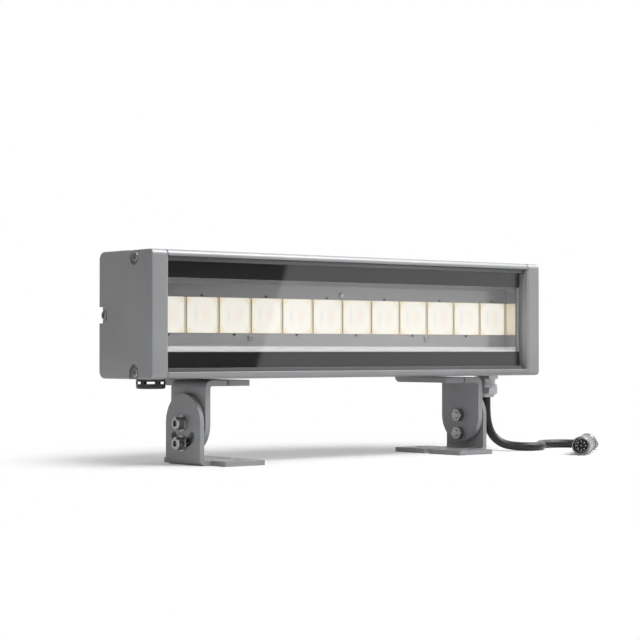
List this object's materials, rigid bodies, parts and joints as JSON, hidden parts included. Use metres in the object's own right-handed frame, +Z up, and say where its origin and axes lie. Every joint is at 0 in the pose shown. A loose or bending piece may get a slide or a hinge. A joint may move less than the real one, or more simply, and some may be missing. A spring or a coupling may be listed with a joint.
{
  "type": "outdoor wall washer light",
  "caption": "Linear outdoor wall washer light with a row of square lenses behind glass, on two tilting foot brackets, with a pigtail cable and round connector.",
  "frame": {"origin": "on the ground under the middle of the lamp, at the bottom centre of the light without its free cable", "axes": "+X along the lamp towards the cable end, +Y away from the lit side, +Z up"},
  "size_m": [0.618, 0.1969, 0.2106],
  "materials": {
    "body_paint": "fine matt powder coat",
    "cap_paint": "fine matt powder coat",
    "bracket_paint": "fine matt powder coat",
    "strip_paint": "fine matt powder coat",
    "silicone": "matt",
    "stainless": "satin",
    "clear_glass": "clear",
    "black_enamel": "glossy black print",
    "tray_metal": "satin anodised",
    "nylon": "matt",
    "lens_clear": "clear, lit from behind",
    "board_white": "matt white solder mask",
    "pad_grey": "matt",
    "emitter": "phosphor",
    "driver_case": "satin",
    "board_green": "satin solder mask",
    "chip_black": "matt",
    "core_brown": "satin",
    "cable_jacket": "satin black",
    "nickel": "nickel plated",
    "black_plastic": "satin black",
    "film": "matt white film",
    "connector_metal": "satin grey",
    "insert_plastic": "matt",
    "contact_metal": "plated"
  },
  "bodies": {
    "foot_left": {"lower_bracket_left": "bracket_paint", "power_cable": "cable_jacket", "connector_rear_nut": "connector_metal", "connector_body": "connector_metal", "connector_insert": "insert_plastic", "connector_pins": "contact_metal"},
    "lamp": {"housing": "body_paint", "end_cap_left": "cap_paint", "end_cap_right": "cap_paint", "cap_gasket_left": "silicone", "cap_gasket_right": "silicone", "cap_screws": "stainless", "front_glass": "clear_glass", "retaining_strip_upper": "strip_paint", "retaining_strip_lower": "strip_paint", "glass_band_upper": "black_enamel", "glass_band_lower": "black_enamel", "glass_seal": "silicone", "reflector_tray": "tray_metal", "tray_spacers": "nylon", "tray_screws": "stainless", "lens_01": "lens_clear", "lens_02": "lens_clear", "lens_03": "lens_clear", "lens_04": "lens_clear", "lens_05": "lens_clear", "lens_06": "lens_clear", "lens_07": "lens_clear", "lens_08": "lens_clear", "lens_09": "lens_clear", "lens_10": "lens_clear", "lens_11": "lens_clear", "lens_12": "lens_clear", "led_board": "board_white", "thermal_pad": "pad_grey", "led_emitters": "emitter", "led_driver": "driver_case", "driver_screws": "stainless", "control_board": "board_green", "control_parts": "chip_black", "terminal_block": "nylon", "cable_cores": "core_brown", "cable_tail": "cable_jacket", "upper_bracket_left": "bracket_paint", "upper_bracket_right": "bracket_paint", "bracket_screws": "stainless", "bracket_t_nuts": "stainless", "clamp_bolts": "stainless", "clamp_nuts": "stainless", "clamp_washers": "stainless", "friction_washers": "nylon", "gland_body": "nickel", "gland_nut": "nickel", "gland_seal": "silicone", "vent_body": "black_plastic", "vent_cap": "black_plastic", "vent_membrane": "film"},
    "foot_right": {"lower_bracket_right": "bracket_paint"},
    "coupling_sleeve": {"connector_sleeve": "connector_metal"}
  },
  "joints": [
    {"name": "lamp_tilt", "type": "hinge", "parent": "foot_left", "child": "lamp", "pos_m": [0, -0.0013, 0.0413], "axis": [1, 0, 0], "range_deg": [-50, 50], "deforming": ["power_cable"]},
    {"name": "right_foot_tilt", "type": "hinge", "parent": "lamp", "child": "foot_right", "pos_m": [0, -0.0013, 0.0413], "axis": [1, 0, 0], "range_deg": [-50, 50]},
    {"name": "sleeve_turn", "type": "hinge", "parent": "foot_left", "child": "coupling_sleeve", "pos_m": [0.3025, -0.0846, 0.0105], "axis": [-0.8, -0.6, 0], "continuous": true}
  ],
  "couplings": [
    {"joint": "right_foot_tilt", "follows": "lamp_tilt", "ratio": -1}
  ]
}
